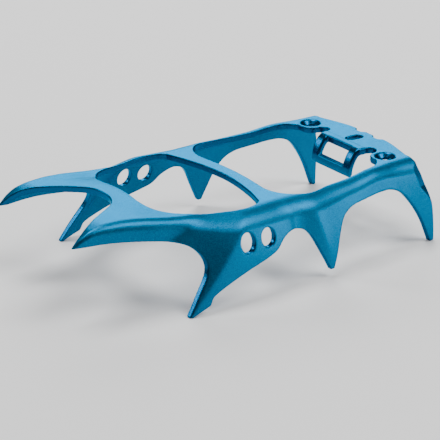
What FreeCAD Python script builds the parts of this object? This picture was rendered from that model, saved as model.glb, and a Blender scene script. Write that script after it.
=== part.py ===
import FreeCAD, Part
import math
import os

from FreeCAD import Vector

# Front frame of a crampon: one formed sheet of aluminium, cut into a ring with a toe bridge,
# a cross brace and a slotted rear bar, its edges bent down into eight points.
# +X points to the toe, +Y to the wearer's left, +Z up. The tips of the long side points and of the
# rear points stand on z = 0. Lengths are in millimetres.
# "Reach" is the distance ahead of the rear end of the frame; "half" is a distance from the mid plane.

doc = FreeCAD.newDocument("crampon_front_frame")
sheet = doc.addObject("Spreadsheet::Sheet", "Dimensions")

DIMENSIONS = {
    "frame_length": 178.2,
    "sheet_thickness": 3.0,
    "rear_deck_height": 38.0,
    "brace_deck_height": 36.3,
    "bridge_half_width": 24.0,
    "rail_split_height": 30.5,
    "third_split_height": 25.5,
    "front_split_reach": 137.5,
    "middle_split_reach": 84.0,
    "rear_split_reach": 25.3,
    "third_start_reach": 50.0,
    "third_end_reach": 73.5,
    "side_hole_width": 7.0,
    "side_hole_height": 8.4,
    "side_hole_level": 24.9,
    "front_side_hole_reach": 105.4,
    "rear_side_hole_reach": 94.7,
    "screw_reach": 15.0,
    "screw_half_spacing": 27.2,
    "screw_hole_diameter": 5.4,
    "countersink_diameter": 9.4,
    "countersink_depth": 2.0,
    "slot_reach": 10.9,
    "slot_length": 8.6,
    "slot_width": 4.6,
    "brace_half_span": 36.0,
    "rear_bar_half_width": 33.5,
    "bracket_half_width": 13.9,
    "window_half_width": 8.65,
    "window_floor": 30.0,
    "bracket_root_reach": 18.9,
    "rear_corner_reach": 6.3,
}

# Cross-sections of the left side, from the toe to the rear. The sheet runs out flat from the edge of
# the opening, turns down through the bend and goes down the side wall, which flares outwards.
SECTION_COLUMNS = (
    "reach", "deck", "inner", "shoulder", "bend", "gauge", "wall_high", "wall_low", "wall_foot",
)
SECTIONS = (
    (178.2, 34.9, 28.2, 30.0, 0.3, 1.5, 30.0, 30.0, 30.0),
    (174.8, 37.4, 27.8, 30.8, 1.2, 2.2, 30.8, 30.8, 30.8),
    (169.8, 39.9, 25.9, 31.6, 2.4, 2.9, 31.6, 31.6, 31.6),
    (166.8, 40.7, 24.0, 32.1, 3.6, 3.0, 32.1, 32.1, 32.1),
    (157.0, 41.2, 24.0, 33.9, 4.6, 3.0, 34.2, 34.2, 34.2),
    (148.0, 40.5, 24.0, 35.2, 5.0, 3.0, 35.4, 35.4, 35.4),
    (140.0, 39.2, 24.0, 36.2, 5.0, 3.0, 39.0, 41.0, 42.0),
    (137.0, 38.7, 24.0, 36.6, 5.0, 3.0, 44.0, 50.6, 52.8),
    (133.0, 38.2, 24.0, 37.2, 5.0, 3.0, 46.0, 51.0, 52.7),
    (131.2, 37.9, 27.7, 37.6, 5.0, 3.0, 46.6, 51.0, 52.7),
    (126.6, 37.4, 30.9, 39.2, 5.0, 3.0, 48.0, 51.3, 52.6),
    (120.7, 37.0, 33.6, 41.3, 5.0, 3.0, 49.3, 51.7, 52.6),
    (114.4, 36.8, 35.3, 43.4, 5.0, 3.0, 50.3, 52.0, 52.7),
    (109.5, 36.8, 36.6, 45.6, 5.0, 3.0, 50.5, 52.0, 52.7),
    (104.5, 36.8, 37.8, 46.8, 5.0, 3.0, 50.5, 52.0, 52.7),
    (99.7, 36.6, 38.3, 46.6, 5.0, 3.0, 50.4, 52.0, 52.6),
    (92.0, 36.3, 37.0, 45.2, 5.0, 3.0, 50.1, 51.7, 52.3),
    (86.0, 36.3, 36.0, 44.0, 5.0, 3.0, 48.9, 50.8, 51.6),
    (80.0, 36.3, 36.0, 43.4, 5.0, 3.0, 48.0, 49.8, 50.8),
    (75.0, 36.3, 36.0, 44.0, 5.0, 3.0, 48.2, 49.8, 50.6),
    (71.0, 36.3, 37.8, 45.4, 5.0, 3.0, 48.8, 50.1, 50.8),
    (66.0, 36.3, 38.7, 46.3, 5.0, 3.0, 49.1, 50.5, 51.0),
    (61.0, 36.3, 38.0, 45.4, 5.0, 3.0, 48.2, 50.5, 51.5),
    (54.0, 36.3, 36.8, 43.8, 5.0, 3.0, 46.6, 48.6, 49.6),
    (45.0, 36.3, 35.9, 42.7, 5.0, 3.0, 44.5, 45.6, 46.2),
    (33.0, 37.4, 34.4, 41.5, 5.0, 3.0, 42.8, 43.8, 44.4),
    (27.8, 38.0, 33.5, 41.0, 5.0, 3.0, 42.4, 43.6, 44.3),
    (13.0, 38.0, 33.5, 40.4, 5.0, 3.0, 42.2, 43.5, 44.4),
    (0.0, 38.0, 33.5, 39.8, 5.0, 3.0, 42.0, 43.4, 44.5),
)
WALL_LEVELS = (20.0, 10.0, -1.0)


def fill_sheet():
    """Writes every driving dimension and every section size into the sheet under its own alias."""
    row = 1
    for name, value in DIMENSIONS.items():
        sheet.set("A%d" % row, name)
        sheet.set("B%d" % row, str(value))
        sheet.setAlias("B%d" % row, name)
        row += 1
    for number, section in enumerate(SECTIONS, 1):
        for name, value in zip(SECTION_COLUMNS, section):
            alias = "section_%02d_%s" % (number, name)
            sheet.set("A%d" % row, alias)
            sheet.set("B%d" % row, str(value))
            sheet.setAlias("B%d" % row, alias)
            row += 1
    doc.recompute()


def dim(name):
    return float(sheet.get(name))


def along(reach):
    """The x of a point that lies this far ahead of the rear end."""
    return reach - dim("frame_length") / 2


def bind(obj, **expressions):
    for name, expression in expressions.items():
        obj.setExpression(name, expression)
    return obj


fill_sheet()
X_OF = "%s - Dimensions.frame_length / 2"
TALL = 60.0
WIDE = 70.0


# ---- The left side: sections, loft and side outline -------------------------------------------

def quarter_bend(centre, radius, steps=3):
    """Points of a quarter turn, from straight up to straight out, in (half, height)."""
    turn = [math.radians(90.0 * n / steps) for n in range(steps + 1)]
    return [(centre[0] + radius * math.sin(a), centre[1] + radius * math.cos(a)) for a in turn]


def section_wire(number):
    size = {c: dim("section_%02d_%s" % (number, c)) for c in SECTION_COLUMNS}
    gauge = size["gauge"]
    walls = [size["wall_high"], size["wall_low"], size["wall_foot"]]
    bend = size["bend"]
    outer = [(size["inner"], size["deck"])]
    outer += quarter_bend((size["shoulder"] - bend, size["deck"] - bend), bend)
    outer += list(zip(walls, WALL_LEVELS))
    least_bend = 0.2
    tight = max(bend - gauge, least_bend)
    inner = [(size["inner"], size["deck"] - gauge)]
    middle = (size["shoulder"] - gauge - tight, size["deck"] - gauge - tight)
    inner += quarter_bend(middle, tight)
    inner += [(w - gauge, z) for w, z in zip(walls, WALL_LEVELS)]
    x = along(size["reach"])
    loop = [Vector(x, half, height) for half, height in outer + inner[::-1]]
    return Part.makePolygon(loop + loop[:1])


def plane_curve(points):
    """A smooth curve through (reach, height) points of the side view."""
    curve = Part.BSplineCurve()
    curve.interpolate([Vector(along(s), 0, z) for s, z in points])
    return curve.toShape()


def plane_lines(points):
    ends = [Vector(along(s), 0, z) for s, z in points]
    return [Part.makeLine(a, b) for a, b in zip(ends, ends[1:])]


def side_outline():
    """The side view of the frame: its underside with the points and arches, and its rear edge."""
    tip = dim("frame_length")
    edges = [plane_curve([(tip, 33.4), (162, 33.1), (146, 30.8), (132.8, 28.0)])]
    edges.append(plane_curve([(132.8, 28.0), (128, 25.6), (125.3, 21), (126.2, 16.2)]))
    edges += plane_lines([(126.2, 16.2), (137.4, 0), (136.0, 0), (126.7, 3.3), (125.7, 6.1)])
    edges.append(plane_curve([(125.7, 6.1), (116.6, 10.3), (106, 13.8), (95.3, 16.7)]))
    edges.append(plane_curve([(95.3, 16.7), (90.3, 18.8), (85.8, 22.8), (80.3, 24.8),
                              (75.3, 23.6), (72.1, 20.4)]))
    edges += plane_lines([(72.1, 20.4), (63.3, 3.6), (61.5, 3.6)])
    edges.append(plane_curve([(61.5, 3.6), (58.8, 10), (55.8, 19), (50.8, 25), (43.8, 27.3)]))
    edges += plane_lines([(43.8, 27.3), (27.8, 28.7)])
    edges.append(plane_curve([(27.8, 28.7), (21.3, 27.6), (14.8, 22.8), (7.8, 13.5), (2.0, 0)]))
    edges += plane_lines([(2.0, 0), (0, 0)])
    corner = dim("rear_corner_reach")
    edges.append(plane_curve([(0, 0), (0.1, 8), (0.9, 20), (3.2, 29.5), (corner, 38.5)]))
    edges += plane_lines([(corner, 38.5), (corner, TALL), (tip, TALL), (tip, 33.4)])
    return Part.Face(Part.Wire(edges))


def drawn(name, shape):
    """A document object for a shape that Part's own functions draw from the sheet's values."""
    obj = doc.addObject("Part::Feature", name)
    obj.Shape = shape
    return obj


sections = []
for index in range(1, len(SECTIONS) + 1):
    sections.append(drawn("section_%02d" % index, section_wire(index)))
side_loft = doc.addObject("Part::Loft", "side_loft")
side_loft.Sections = sections
side_loft.Solid = True
side_loft.Ruled = True

outline_face = drawn("side_outline_face", side_outline())
outline_block = doc.addObject("Part::Extrusion", "side_outline_block")
outline_block.Base = outline_face
outline_block.DirMode = "Custom"
outline_block.Dir = Vector(0, 1, 0)
outline_block.LengthFwd = WIDE

left_side = doc.addObject("Part::Common", "left_side")
left_side.Base = side_loft
left_side.Tool = outline_block
doc.recompute()


# ---- Regions that divide the side into its members ----------------------------------------------

def region(name, low_reach, high_reach, low, high):
    """A block across the left side between two reaches and two heights, given as expressions."""
    box = doc.addObject("Part::Box", name)
    bind(box, Length="%s - (%s)" % (high_reach, low_reach), Height="%s - (%s)" % (high, low))
    box.Width = WIDE
    box.setExpression("Placement.Base.x", X_OF % low_reach)
    box.setExpression("Placement.Base.z", low)
    return box


def member(name, base, tool, kind="Part::Common"):
    obj = doc.addObject(kind, name)
    obj.Base = base
    obj.Tool = tool
    return obj


D = "Dimensions."
FAR_BEHIND = "-10"
FAR_AHEAD = D + "frame_length + 10"
BELOW = "-5"
ABOVE = "60"

front_region = region("front_region", D + "front_split_reach", FAR_AHEAD, BELOW, ABOVE)
rail_region = region("front_rail_region", D + "middle_split_reach", D + "front_split_reach",
                     D + "rail_split_height", ABOVE)
fin_region = region("fin_region", D + "middle_split_reach", D + "front_split_reach",
                    BELOW, D + "rail_split_height")
rear_rail_region = region("rear_rail_region", D + "rear_split_reach", D + "middle_split_reach",
                          BELOW, ABOVE)
third_region = region("third_region", D + "third_start_reach", D + "third_end_reach",
                      BELOW, D + "third_split_height")
rear_region = region("rear_region", FAR_BEHIND, D + "rear_split_reach", BELOW, ABOVE)


def oval_hole(name, reach):
    """An upright oval through the side wall: a cylinder along Y stretched in height."""
    ellipse = doc.addObject("Part::Ellipse", name + "_rim")
    bind(ellipse, MajorRadius=D + "side_hole_height / 2", MinorRadius=D + "side_hole_width / 2")
    upright = FreeCAD.Rotation(Vector(0, 0, 1), Vector(-1, 0, 0), Vector(0, -1, 0), "XYZ")
    ellipse.Placement = FreeCAD.Placement(Vector(along(dim(reach)), 0, dim("side_hole_level")),
                                          upright)
    ellipse.setExpression("Placement.Base.x", X_OF % (D + reach))
    ellipse.setExpression("Placement.Base.z", D + "side_hole_level")
    hole = doc.addObject("Part::Extrusion", name)
    hole.Base = ellipse
    hole.DirMode = "Custom"
    hole.Dir = Vector(0, 1, 0)
    hole.LengthFwd = WIDE
    hole.Solid = True
    return hole


side_holes = doc.addObject("Part::MultiFuse", "side_holes")
side_holes.Shapes = [oval_hole("front_side_hole", "front_side_hole_reach"),
                     oval_hole("rear_side_hole", "rear_side_hole_reach")]
fin_blank = member("fin_blank", left_side, fin_region)

left_members = {
    "front_point": member("left_front_point", left_side, front_region),
    "front_rail": member("left_front_rail", left_side, rail_region),
    "secondary_point": member("left_secondary_point", fin_blank, side_holes, "Part::Cut"),
    "third_point": member("left_third_point", left_side, third_region),
    "rear_point": member("left_rear_point", left_side, rear_region),
}
rear_rail_blank = member("rear_rail_blank", left_side, rear_rail_region)
left_members["rear_rail"] = member("left_rear_rail", rear_rail_blank, third_region, "Part::Cut")
doc.recompute()

nodes = []
for name, left in left_members.items():
    mirrored = doc.addObject("Part::Mirroring", "right_" + name)
    mirrored.Source = left
    mirrored.Normal = Vector(0, 1, 0)
    nodes += [left, mirrored]


# ---- Toe bridge: an arched plate with a wide notch between the front points ---------------------

def plan_curve(points):
    """A smooth curve through (reach, half) points of the plan."""
    curve = Part.BSplineCurve()
    curve.interpolate([Vector(along(s), y, 0) for s, y in points])
    return curve.toShape()


def mirrored_points(half_points):
    """Points from the left edge to the right edge, from those of the left half."""
    middle = [p for p in half_points if p[1] == 0]
    left = [p for p in half_points if p[1] != 0]
    return left + middle + [(s, -y) for s, y in reversed(left)]


def bridge_plan():
    side = dim("bridge_half_width")
    rear_reach, front_reach = 132.6, 166.6
    rear = mirrored_points([(rear_reach, side), (135.6, 20), (137.4, 13), (136.0, 0)])
    notch = mirrored_points([(front_reach, side), (159.5, 18.8), (150.6, 13.2), (147.0, 8.4),
                             (145.6, 0)])
    edges = [plan_curve(rear), plan_curve(notch)]
    for half in (side, -side):
        edges.append(Part.makeLine(Vector(along(rear_reach), half, 0),
                                   Vector(along(front_reach), half, 0)))
    return Part.Face(Part.Wire(Part.__sortEdges__(edges)))


def deck_band():
    """The side view of the deck: its height at every section, one sheet thickness deep."""
    low_reach, high_reach = 120.0, 170.0
    numbers = range(1, len(SECTIONS) + 1)
    rows = [(dim("section_%02d_reach" % n), dim("section_%02d_deck" % n)) for n in numbers]
    top = [row for row in rows if low_reach < row[0] < high_reach]
    under = [(s, z - dim("sheet_thickness")) for s, z in reversed(top)]
    ring = [Vector(along(s), 0, z) for s, z in top + under]
    return Part.Face(Part.makePolygon(ring + ring[:1]))


bridge_outline = drawn("bridge_outline", bridge_plan())
bridge_block = doc.addObject("Part::Extrusion", "bridge_block")
bridge_block.Base = bridge_outline
bridge_block.DirMode = "Custom"
bridge_block.Dir = Vector(0, 0, 1)
bridge_block.LengthFwd = TALL
bridge_block.Solid = True
deck_face = drawn("deck_face", deck_band())
deck_block = doc.addObject("Part::Extrusion", "deck_block")
deck_block.Base = deck_face
deck_block.DirMode = "Custom"
deck_block.Dir = Vector(0, 1, 0)
deck_block.LengthFwd = WIDE
deck_block.LengthRev = WIDE
deck_block.Solid = True
nodes.append(member("toe_bridge", deck_block, bridge_block))
doc.recompute()


# ---- Flat plates: bodies with a sketch, a pad and pockets ---------------------------------------

def origin_plane(body, role):
    return [f for f in body.Origin.OriginFeatures if f.Role == role][0]


def sketch_on(body, name, role="XY_Plane"):
    sketch = body.newObject("Sketcher::SketchObject", name)
    sketch.AttachmentSupport = [(origin_plane(body, role), "")]
    sketch.MapMode = "FlatFace"
    return sketch


def padded(body, sketch, thickness="sheet_thickness"):
    pad = body.newObject("PartDesign::Pad", body.Name + "_pad")
    pad.Profile = sketch
    pad.setExpression("Length", D + thickness)
    return pad


def pocketed(body, sketch, name):
    pocket = body.newObject("PartDesign::Pocket", name)
    pocket.Profile = sketch
    pocket.Type = "ThroughAll"
    pocket.Midplane = True
    return pocket


def straight(start, end):
    return Part.LineSegment(Vector(along(start[0]), start[1], 0), Vector(along(end[0]), end[1], 0))


def smooth(points):
    curve = Part.BSplineCurve()
    curve.interpolate([Vector(along(s), y, 0) for s, y in points])
    return curve


def bent(start, middle, end):
    ends = [Vector(along(s), y, 0) for s, y in (start, middle, end)]
    return Part.Arc(*ends)


def flipped(points):
    return [(s, -y) for s, y in points]


# Cross brace: a strap bowed to the rear, wider at its ends.
brace = doc.addObject("PartDesign::Body", "cross_brace")
brace_sketch = sketch_on(brace, "brace_outline")
brace_end = dim("brace_half_span")
brace_front = mirrored_points([(90.2, brace_end), (86.4, 18.5), (83.6, 0)])
brace_rear = mirrored_points([(75.3, brace_end), (79.6, 27.5), (78.6, 16), (77.4, 0)])
brace_sketch.addGeometry(smooth(brace_front), False)
brace_sketch.addGeometry(smooth(brace_rear), False)
brace_sketch.addGeometry(straight((90.2, brace_end), (75.3, brace_end)), False)
brace_sketch.addGeometry(straight((90.2, -brace_end), (75.3, -brace_end)), False)
padded(brace, brace_sketch)
bind(brace, **{"Placement.Base.z": D + "brace_deck_height - " + D + "sheet_thickness"})
nodes.append(brace)

# Rear bar: a plate with two round lugs for screws and a slot between them.
bar = doc.addObject("PartDesign::Body", "rear_bar")
bar_sketch = sketch_on(bar, "bar_outline")
side = dim("rear_bar_half_width")
root = dim("bracket_root_reach")
arm = dim("bracket_half_width")
bar_side = dim("rear_corner_reach")
lug_front = dim("rear_split_reach")
scallop_end = (16.4, arm)
step_half, recess, tongue, tongue_half, recess_half = 10.0, 3.3, 1.9, 2.2, 4.2
for flip in (lambda pts: pts, flipped):
    bar_sketch.addGeometry(straight(*flip([(bar_side, side), (lug_front, side)])), False)
    bar_sketch.addGeometry(smooth(flip([(lug_front, side), (22.4, 28.4), (20.3, 23.4),
                                        (16.2, 20.6), (13.1, 17.6), (13.6, 14.9), scallop_end])),
                           False)
    bar_sketch.addGeometry(straight(*flip([scallop_end, (root, arm)])), False)
    bar_sketch.addGeometry(bent(*flip([(bar_side, side), (4.5, 25), (1.7, step_half)])), False)
    bar_sketch.addGeometry(straight(*flip([(1.7, step_half), (recess, 8.4)])), False)
    bar_sketch.addGeometry(straight(*flip([(recess, 8.4), (recess, recess_half)])), False)
    bar_sketch.addGeometry(straight(*flip([(recess, recess_half), (tongue, tongue_half)])), False)
bar_sketch.addGeometry(straight((root, arm), (root, -arm)), False)
bar_sketch.addGeometry(straight((tongue, tongue_half), (tongue, -tongue_half)), False)
padded(bar, bar_sketch)
doc.recompute()

slot_sketch = sketch_on(bar, "slot_outline")
slot_round = dim("slot_width") / 2
slot_run = dim("slot_length") / 2 - slot_round
slot_mid = dim("slot_reach")
slot_sketch.addGeometry(straight((slot_mid - slot_run, slot_round),
                                 (slot_mid + slot_run, slot_round)), False)
slot_sketch.addGeometry(straight((slot_mid - slot_run, -slot_round),
                                 (slot_mid + slot_run, -slot_round)), False)
for way in (1, -1):
    slot_sketch.addGeometry(bent((slot_mid + way * slot_run, slot_round),
                                 (slot_mid + way * (slot_run + slot_round), 0),
                                 (slot_mid + way * slot_run, -slot_round)), False)
pocketed(bar, slot_sketch, "slot")
doc.recompute()
bind(bar, **{"Placement.Base.z": D + "rear_deck_height - " + D + "sheet_thickness"})

screw_tools = []
for hand, sign in (("left", ""), ("right", "-")):
    drill = doc.addObject("Part::Cylinder", hand + "_screw_drill")
    bind(drill, Radius=D + "screw_hole_diameter / 2", Height=D + "sheet_thickness * 3")
    drill.setExpression("Placement.Base.z", D + "rear_deck_height - 2 * " + D + "sheet_thickness")
    sink = doc.addObject("Part::Cone", hand + "_countersink")
    bind(sink, Radius1=D + "screw_hole_diameter / 2", Radius2=D + "countersink_diameter / 2",
         Height=D + "countersink_depth")
    sink.setExpression("Placement.Base.z", D + "rear_deck_height - " + D + "countersink_depth")
    for tool in (drill, sink):
        tool.setExpression("Placement.Base.x", X_OF % (D + "screw_reach"))
        tool.setExpression("Placement.Base.y", sign + D + "screw_half_spacing")
        screw_tools.append(tool)
screw_holes = doc.addObject("Part::MultiFuse", "screw_holes")
screw_holes.Shapes = screw_tools
bar.Label = "rear_bar_blank"
drilled_bar = member("rear_bar_drilled", bar, screw_holes, "Part::Cut")
drilled_bar.Label = "rear_bar"
nodes.append(drilled_bar)
doc.recompute()


# ---- Link bracket: a loop bent down from the rear bar, with a window for the linking bar --------

def bracket_side():
    root_x = dim("bracket_root_reach")
    top = dim("rear_deck_height")
    gauge = dim("sheet_thickness")
    under = top - gauge
    outer_foot, inner_foot = (25.0, 25.8), (22.3, 25.6)
    edges = [plane_curve([(root_x, top), (21.6, 36.1), (24.1, 31.8), outer_foot])]
    edges.append(plane_curve([(root_x, under), (20.3, 33.2), (21.6, 30.6), inner_foot]))
    edges += plane_lines([(root_x, top), (root_x, under)])
    edges += plane_lines([outer_foot, inner_foot])
    return Part.Face(Part.Wire(Part.__sortEdges__(edges)))


bracket_face = drawn("bracket_face", bracket_side())
bracket_band = doc.addObject("Part::Extrusion", "bracket_band")
bracket_band.Base = bracket_face
bracket_band.DirMode = "Custom"
bracket_band.Dir = Vector(0, 1, 0)
bracket_band.setExpression("LengthFwd", D + "bracket_half_width")
bracket_band.setExpression("LengthRev", D + "bracket_half_width")
bracket_band.Solid = True
window = doc.addObject("Part::Box", "bracket_window")
bind(window, Width=D + "window_half_width * 2", Height="20 mm", Length="30 mm")
window.setExpression("Placement.Base.x", X_OF % (D + "bracket_root_reach - 5"))
window.setExpression("Placement.Base.y", "-" + D + "window_half_width")
window.setExpression("Placement.Base.z", D + "window_floor")
nodes.append(member("link_bracket", bracket_band, window, "Part::Cut"))
doc.recompute()


# ---- Checks and files ---------------------------------------------------------------------------

for obj in doc.Objects:
    if "Invalid" in obj.State or "Error" in obj.State:
        raise RuntimeError("%s failed: %s" % (obj.Label, obj.State))
os.makedirs("parts", exist_ok=True)
for node in nodes:
    shape = node.Shape
    if shape.isNull() or not shape.isValid() or not shape.Solids:
        raise RuntimeError("%s has no valid solid" % node.Label)
    box = shape.BoundBox
    print("%-24s solids %d  volume %8.1f  x %.1f..%.1f  y %.1f..%.1f  z %.1f..%.1f" % (
        node.Label, len(shape.Solids), shape.Volume, box.XMin, box.XMax, box.YMin, box.YMax,
        box.ZMin, box.ZMax))
    shape.exportStep("parts/%s.step" % node.Label)
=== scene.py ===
import math

import bmesh
import bpy
import numpy as np
import openvdb
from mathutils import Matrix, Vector


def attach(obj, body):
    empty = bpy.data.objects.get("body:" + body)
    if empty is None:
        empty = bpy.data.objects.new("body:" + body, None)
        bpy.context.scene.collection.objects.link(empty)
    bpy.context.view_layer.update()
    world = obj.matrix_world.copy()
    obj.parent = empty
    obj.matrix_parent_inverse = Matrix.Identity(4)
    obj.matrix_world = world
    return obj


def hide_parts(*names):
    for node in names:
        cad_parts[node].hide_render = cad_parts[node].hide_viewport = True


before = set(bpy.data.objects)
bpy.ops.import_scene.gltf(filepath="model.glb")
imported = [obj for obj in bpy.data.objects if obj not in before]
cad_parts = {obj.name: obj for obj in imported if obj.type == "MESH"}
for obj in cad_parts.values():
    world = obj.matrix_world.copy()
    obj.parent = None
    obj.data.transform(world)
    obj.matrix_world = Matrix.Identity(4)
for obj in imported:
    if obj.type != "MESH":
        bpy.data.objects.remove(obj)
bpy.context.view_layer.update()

# The frame is one formed sheet. Its shape is worked out here in millimetres on a grid of distances to
# the surface, negative inside the metal, so that every edge can be rounded by a chosen radius.
# "Reach" is the distance ahead of the rear end, "half" the distance from the mid plane.
MM = 0.001
LENGTH = 178.2
GAUGE = 3.0
EDGE_RADIUS = 0.55
CELL = 0.4
GRID_LIMIT = 3 * CELL
FAR_INSIDE = -9
REACHES = np.arange(-2.0, 180.6, CELL)
HALVES = np.arange(0.0, 54.8, CELL)
HEIGHTS = np.arange(-2.0, 43.6, CELL)


def along(reach):
    return reach - LENGTH / 2


# ---- The sheet before it is cut: side walls, deck and the bend between them ----------------------

DECK_LEVELS = (
    (-8.0, 38.0), (0.0, 38.0), (28.0, 38.0), (45.0, 36.5), (68.0, 36.2), (92.0, 36.3), (109.5, 36.7),
    (120.7, 37.1), (131.2, 38.0), (140.0, 39.3), (148.0, 40.5), (157.0, 41.2), (164.0, 41.0),
    (169.8, 39.9), (174.8, 37.5), (178.2, 35.0), (184.0, 29.0),
)
CLAW_WALLS = (
    (-8.0, 36.0), (120.0, 37.5), (131.2, 37.0), (140.0, 36.2), (148.0, 35.2), (157.0, 33.9),
    (166.8, 32.3), (174.8, 31.0), (178.2, 30.2), (184.0, 29.2),
)
BEND_RADII = (
    (-8.0, 7.0), (14.0, 6.5), (30.0, 5.0), (45.0, 5.6), (62.0, 6.8), (80.0, 7.4), (110.0, 6.8),
    (128.0, 5.2), (150.0, 5.0), (164.0, 3.8), (174.0, 1.8), (184.0, 0.8),
)
REAR_EDGE_LEVELS = (
    (-8.0, 0.0), (0.0, 0.0), (8.0, 0.1), (20.0, 0.8), (29.5, 3.2), (35.0, 5.4), (39.0, 6.4),
)


def smooth_through(rows, at):
    """Monotone cubic interpolation through (place, value) rows."""
    x, y = np.array(rows, float).T
    step = np.diff(x)
    slope = np.diff(y) / step
    grade = np.zeros(len(x))
    same = slope[1:] * slope[:-1] > 0
    near, far = 2 * step[1:] + step[:-1], step[1:] + 2 * step[:-1]
    mean = (near + far) / (near / np.where(same, slope[:-1], 1) + far / np.where(same, slope[1:], 1))
    grade[1:-1] = np.where(same, mean, 0)
    grade[0], grade[-1] = slope[0], slope[-1]
    k = np.clip(np.searchsorted(x, at) - 1, 0, len(step) - 1)
    u = (at - x[k]) / step[k]
    return (y[k] * (1 + 2 * u) * (1 - u) ** 2 + step[k] * grade[k] * u * (1 - u) ** 2
            + y[k + 1] * u * u * (3 - 2 * u) + step[k] * grade[k + 1] * u * u * (u - 1))


def soft_max(a, b, blend):
    return (a + b + np.sqrt((a - b) ** 2 + blend ** 2)) / 2


def soft_min(a, b, blend):
    return -soft_max(-a, -b, blend)


def rounded_max(a, b, radius):
    """The overlap of two solids, with the edge between them rounded."""
    turn = np.hypot(np.maximum(radius + a, 0), np.maximum(radius + b, 0))
    return np.minimum(-radius, np.maximum(a, b)) + turn


def wall_half(reach, z):
    """Half width of the outer face of the side wall, with a crease on the secondary and third points."""
    crease = 0.8
    side = 52.7 - 0.0056 * z ** 2
    side_crease = 137.0 - 0.93 * z
    front_facet = side - 0.44 * (reach - side_crease)
    rear_facet = side - 0.2 * (93.5 - reach)
    fin = soft_min(soft_min(side, front_facet, crease), rear_facet, 2.5)
    third = 51.6 - 0.006 * z ** 2
    third_crease = 61.6 + 0.2 * z
    third = soft_min(third - 0.2 * (reach - third_crease), third - 0.2 * (third_crease - reach), crease)
    rear = 44.4 - 0.0038 * z ** 2 + 0.07 * np.clip(reach - 20, 0, 50) - 0.4 * np.maximum(reach - 80, 0)
    claw = smooth_through(CLAW_WALLS, reach)
    middle = soft_max(soft_max(fin, third, 2.0), rear, 2.0)
    return soft_max(middle, claw, 2.0)


def deck_level(reach, half):
    """Height of the deck, which is crowned across the toe bridge."""
    crown = 1.9 * np.exp(-((reach - 139) / 9) ** 2) * np.clip(1 - (half / 24) ** 2, 0, 1)
    return smooth_through(DECK_LEVELS, reach) + crown


def sheet_distance():
    """Distances for the uncut sheet, and those to the outer face of its side wall alone."""
    s, z = np.meshgrid(REACHES, HEIGHTS, indexing="ij")
    wall = wall_half(s, z)
    slope_s, slope_z = np.gradient(wall, CELL)
    upright = 1 / np.sqrt(1 + slope_s ** 2 + slope_z ** 2)
    side = (HALVES[None, :, None] - wall[:, None, :]) * upright[:, None, :]
    s, y = np.meshgrid(REACHES, HALVES, indexing="ij")
    level = deck_level(s, y)
    slope_s, slope_y = np.gradient(level, CELL)
    flat = 1 / np.sqrt(1 + slope_s ** 2 + slope_y ** 2)
    top = (HEIGHTS[None, None, :] - level[:, :, None]) * flat[:, :, None]
    bend = smooth_through(BEND_RADII, REACHES)[:, None, None]
    outer = rounded_max(side, top, bend)
    return np.maximum(outer, -(outer + GAUGE)), side


# ---- Outlines that the sheet is cut to -----------------------------------------------------------

def loop_through(points, steps=6):
    """A closed smooth loop through points. A point given twice is a sharp corner."""
    loop = []
    n = len(points)
    for k in range(n):
        p0, p1, p2, p3 = (np.array(points[(k + j) % n], float) for j in (-1, 0, 1, 2))
        if np.allclose(p1, p2):
            continue
        before, here, after = (max(float(np.linalg.norm(b - a)), 1e-6) ** 0.5
                               for a, b in ((p0, p1), (p1, p2), (p2, p3)))
        start = end = p2 - p1
        if not np.allclose(p0, p1):
            start = ((p1 - p0) / before - (p2 - p0) / (before + here) + (p2 - p1) / here) * here
        if not np.allclose(p2, p3):
            end = ((p2 - p1) / here - (p3 - p1) / (here + after) + (p3 - p2) / after) * here
        for u in np.arange(steps) / steps:
            loop.append((2 * u ** 3 - 3 * u ** 2 + 1) * p1 + (u ** 3 - 2 * u ** 2 + u) * start
                        + (3 * u ** 2 - 2 * u ** 3) * p2 + (u ** 3 - u ** 2) * end)
    return np.array(loop)


def loop_distance(loop, first, second):
    """Distance from each place on a flat grid to a closed loop, negative inside it."""
    a, b = np.meshgrid(first, second, indexing="ij")
    nearest = np.full(a.shape, 1e9)
    inside = np.zeros(a.shape, bool)
    for p, q in zip(loop, np.roll(loop, -1, axis=0)):
        da, db = q - p
        share = np.clip(((a - p[0]) * da + (b - p[1]) * db) / (da * da + db * db), 0, 1)
        nearest = np.minimum(nearest, (a - p[0] - share * da) ** 2 + (b - p[1] - share * db) ** 2)
        if db != 0:
            inside ^= ((b < p[1]) != (b < q[1])) & (a < p[0] + da * (b - p[1]) / db)
    return np.where(inside, -1, 1) * np.sqrt(nearest)


def mirrored(half_points):
    """A closed loop from the points of its left half, which run from the mid plane round to it."""
    return list(half_points) + [(s, -y) for s, y in half_points[::-1] if y != 0]


SIDE_OUTLINE = (
    (186, 60), (186, 60), (186, 33.2), (186, 33.2), (174, 33.3), (162, 33.0), (146, 30.8), (136, 28.8),
    (130, 26.7), (126.6, 23.6), (125.3, 20), (126.2, 16.2), (131.6, 8.4), (137.4, 0), (137.4, 0),
    (136.0, 0), (136.0, 0), (126.9, 3.3), (126.9, 3.3), (126.2, 4.6), (125.2, 6.4), (116.6, 10.3),
    (106, 13.8), (95.3, 16.7), (90.3, 18.6), (85.8, 22.6), (80.3, 24.8), (75.3, 23.6), (72.1, 20.6),
    (67.6, 12.2), (63.3, 3.6), (63.3, 3.6), (61.5, 3.6), (61.5, 3.6), (58.9, 10), (55.9, 18),
    (52.4, 23.8), (47.6, 26.6), (39, 27.8), (28, 28.7), (22.6, 28.1), (17.5, 25.6), (12.8, 20.5),
    (7.4, 12), (2.3, 0), (2.3, 0), (0, 0), (0, 0), (0.05, 8), (0.8, 20), (3.2, 29.5), (5.4, 35),
    (6.4, 39), (6.4, 60), (6.4, 60),
)
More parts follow.
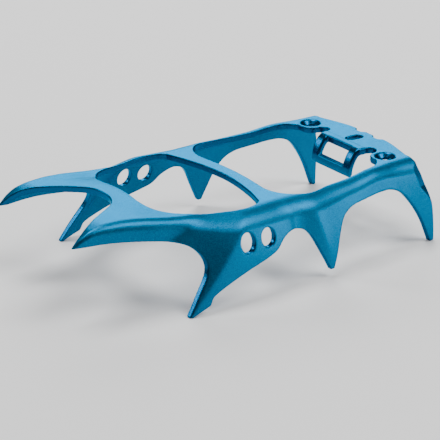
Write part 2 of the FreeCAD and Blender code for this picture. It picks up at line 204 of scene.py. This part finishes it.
FRONT_OPENING = (
    (136.2, 0), (136.6, 8), (137.2, 14), (136.2, 20), (133.6, 24.4), (130.6, 28.2), (126.6, 30.9),
    (120.7, 33.5), (114.4, 35.2), (109.5, 36.5), (105, 37.8), (100.5, 38.4), (96.5, 38.0), (92.6, 36.8),
    (90.3, 35.0), (90.3, 35.0), (87.2, 25), (84.6, 12), (83.6, 0),
)
REAR_OPENING = (
    (77.4, 0), (77.8, 10), (78.6, 18), (79.2, 25), (78.0, 30.5), (75.5, 34.6), (72.6, 37.0),
    (69.2, 38.3), (65.5, 38.7), (61.5, 38.2), (55, 36.9), (44, 35.8), (34, 34.6), (28.2, 33.8),
    (24.6, 32.2), (21.6, 28.6), (21.0, 24.4), (18.6, 21.2), (15.0, 20.2), (12.9, 17.8), (12.9, 15.6),
    (14.8, 14.3), (19.2, 13.9), (19.2, 13.9), (19.2, 0),
)
TOE_NOTCH = (
    (145.6, 0), (146.2, 6), (149.2, 11.6), (154.5, 15.8), (163.4, 21.6), (171.6, 26.4), (178.4, 28.7),
    (186, 29.3), (186, 29.3), (186, 0),
)
REAR_BAR_EDGE = (
    (1.9, 0), (1.9, 2.6), (3.4, 4.4), (3.5, 5.2), (3.4, 7.6), (1.9, 9.4), (1.7, 10.4), (2.2, 15),
    (3.4, 20.5), (4.9, 26), (6.4, 31.4), (6.4, 31.4), (60, 31.4), (60, 31.4), (60, 0),
)
BRACKET_BAND = (
    (16.4, 38.0), (16.4, 38.0), (18.6, 38.0), (20.6, 37.2), (22.5, 35.0), (24.1, 31.8), (24.9, 28.8),
    (25.0, 26.4), (24.0, 25.4), (22.7, 26.2), (22.3, 28.4), (21.5, 30.8), (20.0, 33.5), (18.4, 35.0),
    (16.4, 35.0), (16.4, 35.0),
)
ARM_HALF = 13.9
WINDOW_HALF = 8.65
WINDOW_FLOOR = 30.0
BRACKET_ROOT = 18.9
BRACKET_ROUND = 0.9
BRACKET_BLEND = 0.5

SIDE_HOLES = ((105.4, 4.3), (94.7, 4.0))  # reach and half height
SIDE_HOLE_WIDE = 3.5
SIDE_HOLE_LEVEL = 24.9
REAR_BAR_OUTLINE_ABOVE = 30
DECK_HOLES_ABOVE = 20
SLOT_REACH, SLOT_STRAIGHT_HALF, SLOT_ROUND = 10.9, 2.0, 2.3
SCREW_REACH, SCREW_HALF, SCREW_BORE_RADIUS = 15.0, 27.2, 2.7
COUNTERSINK_LEVEL = 35.9
FACET_REACH = 14


def plan(loop):
    return loop_distance(loop, REACHES, HALVES)[:, :, None]


def side_view(loop):
    return loop_distance(loop, REACHES, HEIGHTS)[:, None, :]


def cut_distance(side):
    """Distances for everything that the sheet is cut to: its outlines, openings and holes."""
    s = REACHES[:, None, None]
    y = HALVES[None, :, None]
    z = HEIGHTS[None, None, :]
    bar = np.maximum(plan(loop_through(mirrored(REAR_BAR_EDGE))), REAR_BAR_OUTLINE_ABOVE - z)
    cut = np.minimum(side_view(loop_through(SIDE_OUTLINE)), bar)
    for outline in (FRONT_OPENING, REAR_OPENING, TOE_NOTCH):
        cut = np.maximum(cut, -plan(loop_through(mirrored(outline))))
    for reach, tall in SIDE_HOLES:
        ring = np.hypot((s - reach) / SIDE_HOLE_WIDE, (z - SIDE_HOLE_LEVEL) / tall)
        steep = np.hypot((s - reach) / SIDE_HOLE_WIDE ** 2, (z - SIDE_HOLE_LEVEL) / tall ** 2)
        cut = np.maximum(cut, ring * (1 - ring) / np.maximum(steep, 1e-6))
    slot = np.hypot(np.maximum(np.abs(s - SLOT_REACH) - SLOT_STRAIGHT_HALF, 0), y) - SLOT_ROUND
    cut = np.maximum(cut, np.where(z > DECK_HOLES_ABOVE, -slot, FAR_INSIDE))
    radius = np.hypot(s - SCREW_REACH, y - SCREW_HALF)
    countersink = (SCREW_BORE_RADIUS + z - COUNTERSINK_LEVEL - radius) * math.sqrt(0.5)
    screw = np.maximum(SCREW_BORE_RADIUS - radius, countersink)
    cut = np.maximum(cut, np.where(z > DECK_HOLES_ABOVE, screw, FAR_INSIDE))
    rear_edge = smooth_through(REAR_EDGE_LEVELS, HEIGHTS)[None, None, :]
    facet = side * 0.88 + (4.6 - (s - rear_edge)) * 0.47 - np.maximum(26 - z, 0) * 0.25
    return cut, np.where(s < FACET_REACH, facet, FAR_INSIDE)


def bracket_distance():
    s = REACHES[:, None, None]
    y = HALVES[None, :, None]
    z = HEIGHTS[None, None, :]
    band = rounded_max(side_view(loop_through(BRACKET_BAND)), y - ARM_HALF, BRACKET_ROUND)
    window = np.maximum(np.maximum(y - WINDOW_HALF, BRACKET_ROOT - s), WINDOW_FLOOR - z)
    return rounded_max(band, -window, BRACKET_ROUND)


def solid_distance():
    """Distances for the finished frame, and how far each place is cut edge rather than sheet face."""
    sheet, side = sheet_distance()
    cut, facet = cut_distance(side)
    solid = rounded_max(np.maximum(sheet, facet), cut, EDGE_RADIUS)
    solid = soft_min(solid, bracket_distance(), BRACKET_BLEND)
    edge = np.maximum(cut, facet) - sheet
    return np.clip(solid, -GRID_LIMIT, GRID_LIMIT), np.clip(edge, -GRID_LIMIT, GRID_LIMIT)


def both_sides(half):
    return np.concatenate([half[:, :0:-1], half], axis=1).astype(np.float32)


solid, edge = (both_sides(half) for half in solid_distance())
ORIGIN = np.array([along(REACHES[0]), -HALVES[-1], HEIGHTS[0]])


def sampled(values, places):
    """Values on the grid, read between its points at places in millimetres."""
    at = (places - ORIGIN) / CELL
    base = np.clip(np.floor(at).astype(int), 0, np.array(values.shape) - 2)
    part = at - base
    total = np.zeros(len(places))
    for corner in np.ndindex(2, 2, 2):
        share = np.prod(np.where(corner, part, 1 - part), axis=1)
        total += share * values[tuple((base + corner).T)]
    return total


def facing(places):
    """Unit vectors out of the metal, read from the grid of distances."""
    reach = 0.6 * CELL
    grades = [sampled(solid, places + reach * axis) - sampled(solid, places - reach * axis)
              for axis in np.eye(3)]
    normal = np.stack(grades, 1)
    return normal / np.maximum(np.linalg.norm(normal, axis=1, keepdims=True), 1e-9)


def mesh_object(name, points, faces):
    mesh = bpy.data.meshes.new(name)
    mesh.from_pydata(points, [], faces)
    piece = bpy.data.objects.new(name, mesh)
    bpy.context.scene.collection.objects.link(piece)
    return piece


grid = openvdb.FloatGrid(GRID_LIMIT)
grid.copyFromArray(solid)
corners, triangles, quads = grid.convertToPolygons(isovalue=0.0, adaptivity=0.0)
whole = mesh_object("formed_sheet", (corners * CELL + ORIGIN).tolist(),
                    quads.tolist() + triangles.tolist())

# ---- Divide it into its members ------------------------------------------------------------------

FRONT_SPLIT, MIDDLE_SPLIT, REAR_SPLIT = 137.5, 84.0, 25.3
MERGE_WITHIN = 0.02
AHEAD, BEHIND, BELOW, ABOVE, OUTSIDE = 200, -20, -9, 60, 70
SIDE_REGIONS = {
    "front_point": ([(FRONT_SPLIT, 24), (AHEAD, 24), (AHEAD, OUTSIDE), (FRONT_SPLIT, OUTSIDE)],
                    BELOW, ABOVE),
    "front_rail": ([(MIDDLE_SPLIT, 36), (94, 36), (94, 24), (FRONT_SPLIT, 24), (FRONT_SPLIT, OUTSIDE),
                    (MIDDLE_SPLIT, OUTSIDE)], 30.5, ABOVE),
    "secondary_point": ([(MIDDLE_SPLIT, 24), (FRONT_SPLIT, 24), (FRONT_SPLIT, OUTSIDE),
                         (MIDDLE_SPLIT, OUTSIDE)], BELOW, 30.5),
    "rear_rail": ([(REAR_SPLIT, 28), (70, 28), (70, 36), (MIDDLE_SPLIT, 36), (MIDDLE_SPLIT, OUTSIDE),
                   (REAR_SPLIT, OUTSIDE)], BELOW, ABOVE),
    "third_point": ([(50, 24), (73.5, 24), (73.5, OUTSIDE), (50, OUTSIDE)], BELOW, 25.5),
    "rear_point": ([(BEHIND, 33.5), (REAR_SPLIT, 33.5), (REAR_SPLIT, OUTSIDE), (BEHIND, OUTSIDE)],
                   BELOW, ABOVE),
}
MIDDLE_REGIONS = {
    "toe_bridge": ([(110, -24), (AHEAD, -24), (AHEAD, 24), (110, 24)], BELOW, ABOVE),
    "cross_brace": ([(70, -36), (94, -36), (94, 36), (70, 36)], 30, ABOVE),
    "rear_bar": ([(BEHIND, -33.5), (REAR_SPLIT, -33.5), (REAR_SPLIT, -14.6), (BRACKET_ROOT, -14.6),
                  (BRACKET_ROOT, 14.6), (REAR_SPLIT, 14.6), (REAR_SPLIT, 33.5), (BEHIND, 33.5)],
                 BELOW, ABOVE),
    "link_bracket": ([(BRACKET_ROOT, -14.6), (40, -14.6), (40, 14.6), (BRACKET_ROOT, 14.6)],
                     BELOW, ABOVE),
}


def prism(name, loop, low, high):
    n = len(loop)
    points = [(along(s), y, z) for z in (low, high) for s, y in loop]
    faces = [list(range(n))[::-1], list(range(n, 2 * n))]
    faces += [[k, (k + 1) % n, n + (k + 1) % n, n + k] for k in range(n)]
    return mesh_object(name, points, faces)


def apply_boolean(piece, tool, operation):
    modifier = piece.modifiers.new(operation, "BOOLEAN")
    modifier.object = tool
    modifier.operation = operation
    modifier.solver = "MANIFOLD"
    graph = bpy.context.evaluated_depsgraph_get()
    mesh = bpy.data.meshes.new_from_object(piece.evaluated_get(graph))
    piece.modifiers.clear()
    piece.data = mesh


def member(name, region, without=None):
    """The part of the sheet inside a region, less the part inside another."""
    piece = bpy.data.objects.new("formed_" + name, whole.data)
    bpy.context.scene.collection.objects.link(piece)
    for area, operation in ((region, "INTERSECT"), (without, "DIFFERENCE")):
        if area:
            tool = prism("region", *area)
            apply_boolean(piece, tool, operation)
            bpy.data.objects.remove(tool)
    tidy = bmesh.new()
    tidy.from_mesh(piece.data)
    bmesh.ops.remove_doubles(tidy, verts=tidy.verts, dist=MERGE_WITHIN)
    bmesh.ops.dissolve_degenerate(tidy, edges=tidy.edges, dist=MERGE_WITHIN)
    bmesh.ops.triangulate(tidy, faces=tidy.faces)
    groups = {}
    for face in tidy.faces:
        groups.setdefault(frozenset(corner.index for corner in face.verts), []).append(face)
    folded = [face for group in groups.values() if len(group) > 1 for face in group]
    bmesh.ops.delete(tidy, geom=folded, context="FACES")
    tidy.to_mesh(piece.data)
    tidy.free()
    return piece


def finish_mesh(piece, paint):
    """Edge values and smooth shading from the grid; the faces between members stay flat."""
    mesh = piece.data
    mesh.name = piece.name
    count = len(mesh.vertices)
    places = np.empty(count * 3)
    mesh.vertices.foreach_get("co", places)
    places = places.reshape(-1, 3)
    edges = mesh.attributes.new("cut_edge", "FLOAT", "POINT")
    edges.data.foreach_set("value", np.clip(sampled(edge, places) / 0.5 + 0.5, 0, 1).astype(np.float32))
    centres = np.empty(len(mesh.polygons) * 3)
    mesh.polygons.foreach_get("center", centres)
    joint = sampled(solid, centres.reshape(-1, 3)) < -0.3 * CELL
    flat = np.empty(len(mesh.polygons) * 3)
    mesh.polygons.foreach_get("normal", flat)
    flat = flat.reshape(-1, 3)
    loops = np.empty(len(mesh.loops), int)
    mesh.loops.foreach_get("vertex_index", loops)
    sizes = np.empty(len(mesh.polygons), int)
    mesh.polygons.foreach_get("loop_total", sizes)
    normals = facing(places)[loops]
    owner = np.repeat(np.arange(len(sizes)), sizes)
    off = joint[owner] | (np.sum(normals * flat[owner], axis=1) < 0.3)
    normals[off] = flat[owner][off]
    mesh.polygons.foreach_set("use_smooth", [True] * len(mesh.polygons))
    mesh.vertices.foreach_set("co", (places * MM).ravel())
    mesh.update()
    mesh.normals_split_custom_set(normals.tolist())
    mesh.materials.clear()
    mesh.materials.append(paint)


def flipped(region):
    loop, low, high = region
    return [(s, -y) for s, y in loop[::-1]], low, high


members = {}
for name, region in MIDDLE_REGIONS.items():
    members[name] = member(name, region)
for name, region in SIDE_REGIONS.items():
    without = SIDE_REGIONS["third_point"] if name == "rear_rail" else None
    members["left_" + name] = member("left_" + name, region, without)
    members["right_" + name] = member("right_" + name, flipped(region), without and flipped(without))
bpy.data.objects.remove(whole)

# ---- Finish: satin blue anodising with a fine grain ----------------------------------------------


def anodised():
    material = bpy.data.materials.new("blue_anodised_aluminium")
    material.use_nodes = True
    nodes, links = material.node_tree.nodes, material.node_tree.links
    shader = nodes["Principled BSDF"]
    place = nodes.new("ShaderNodeTexCoord").outputs["Object"]

    def noise(scale, detail, roughness=0.5):
        node = nodes.new("ShaderNodeTexNoise")
        node.inputs["Scale"].default_value = scale
        node.inputs["Detail"].default_value = detail
        node.inputs["Roughness"].default_value = roughness
        links.new(place, node.inputs["Vector"])
        return node.outputs["Fac"]

    def spread(value, low, high, to_low, to_high):
        node = nodes.new("ShaderNodeMapRange")
        limits = {"From Min": low, "From Max": high, "To Min": to_low, "To Max": to_high}
        for key, number in limits.items():
            node.inputs[key].default_value = number
        links.new(value, node.inputs["Value"])
        return node.outputs["Result"]

    def mixed(share, first, second):
        node = nodes.new("ShaderNodeMix")
        node.data_type = "RGBA"
        for key, value in ((0, share), (6, first), (7, second)):
            if isinstance(value, tuple):
                node.inputs[key].default_value = value
            else:
                links.new(value, node.inputs[key])
        return node.outputs[2]

    cut = nodes.new("ShaderNodeAttribute")
    cut.attribute_name = "cut_edge"
    grain = noise(2600, 3, 0.6)
    cloud = noise(45, 3)
    face = mixed(spread(cloud, 0.35, 0.65, 0, 1), (0.0, 0.085, 0.21, 1), (0.0, 0.11, 0.255, 1))
    face = mixed(spread(grain, 0.38, 0.72, 0, 1), face, (0.0, 0.20, 0.38, 1))
    colour = mixed(cut.outputs["Fac"], face, (0.0, 0.08, 0.20, 1))
    links.new(colour, shader.inputs["Base Color"])
    shader.inputs["Metallic"].default_value = 1.0
    shader.inputs["Specular Tint"].default_value = (0.2, 0.75, 1.0, 1)
    rough = nodes.new("ShaderNodeMath")
    rough.operation = "SUBTRACT"
    links.new(spread(grain, 0.3, 0.7, 0.34, 0.46), rough.inputs[0])
    links.new(spread(cut.outputs["Fac"], 0, 1, 0, 0.14), rough.inputs[1])
    links.new(rough.outputs[0], shader.inputs["Roughness"])
    bump = nodes.new("ShaderNodeBump")
    bump.inputs["Strength"].default_value = 0.5
    bump.inputs["Distance"].default_value = 0.0001
    links.new(grain, bump.inputs["Height"])
    links.new(bump.outputs["Normal"], shader.inputs["Normal"])
    return material


paint = anodised()
for name, piece in members.items():
    finish_mesh(piece, paint)
    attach(piece, "root")
    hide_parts(name)

# ---- Floor, light and camera ---------------------------------------------------------------------

bpy.ops.mesh.primitive_plane_add(size=8)
floor = bpy.context.object
floor.name = "floor"
white = bpy.data.materials.new("white_floor")
white.use_nodes = True
matt = white.node_tree.nodes["Principled BSDF"].inputs
matt["Base Color"].default_value = (0.9, 0.9, 0.9, 1)
matt["Roughness"].default_value = 0.9
floor.data.materials.append(white)

world = bpy.data.worlds.new("studio")
world.use_nodes = True
sky = world.node_tree.nodes["Background"].inputs
sky["Color"].default_value = (1, 1, 1, 1)
sky["Strength"].default_value = 0.12
bpy.context.scene.world = world


def soft_light(name, place, size, power):
    lamp = bpy.data.lights.new(name, "AREA")
    lamp.size = size
    lamp.energy = power
    holder = bpy.data.objects.new(name, lamp)
    holder.location = place
    holder.rotation_euler = (-Vector(place)).to_track_quat("-Z", "Y").to_euler()
    bpy.context.scene.collection.objects.link(holder)


soft_light("behind", (-1.2, -1.75, 1.05), 1.3, 33)
soft_light("overhead", (-0.8, 0.8, 1.6), 0.9, 22)
soft_light("top", (0.1, -0.5, 2.0), 0.8, 26)
soft_light("right", (-1.3, 1.3, 0.25), 0.4, 7)
soft_light("front", (1.2, -1.7, 0.9), 0.5, 10)

TARGET = Vector((-0.0268, -0.03277, -0.0013))
DISTANCE = 1.01002
SENSOR, FOCAL_LENGTH, FRAME_WIDTH = 36, 2202.33, 440
azimuth, elevation = math.radians(180 - 35.2413), math.radians(21.8819)
camera = bpy.data.cameras.new("camera")
camera.sensor_width = SENSOR
camera.lens = SENSOR * FOCAL_LENGTH / FRAME_WIDTH
viewer = bpy.data.objects.new("camera", camera)
back = Vector((math.sin(azimuth) * math.cos(elevation), -math.cos(azimuth) * math.cos(elevation),
               math.sin(elevation)))
viewer.location = TARGET + back * DISTANCE
viewer.rotation_euler = back.to_track_quat("Z", "Y").to_euler()
bpy.context.scene.collection.objects.link(viewer)
bpy.context.scene.camera = viewer
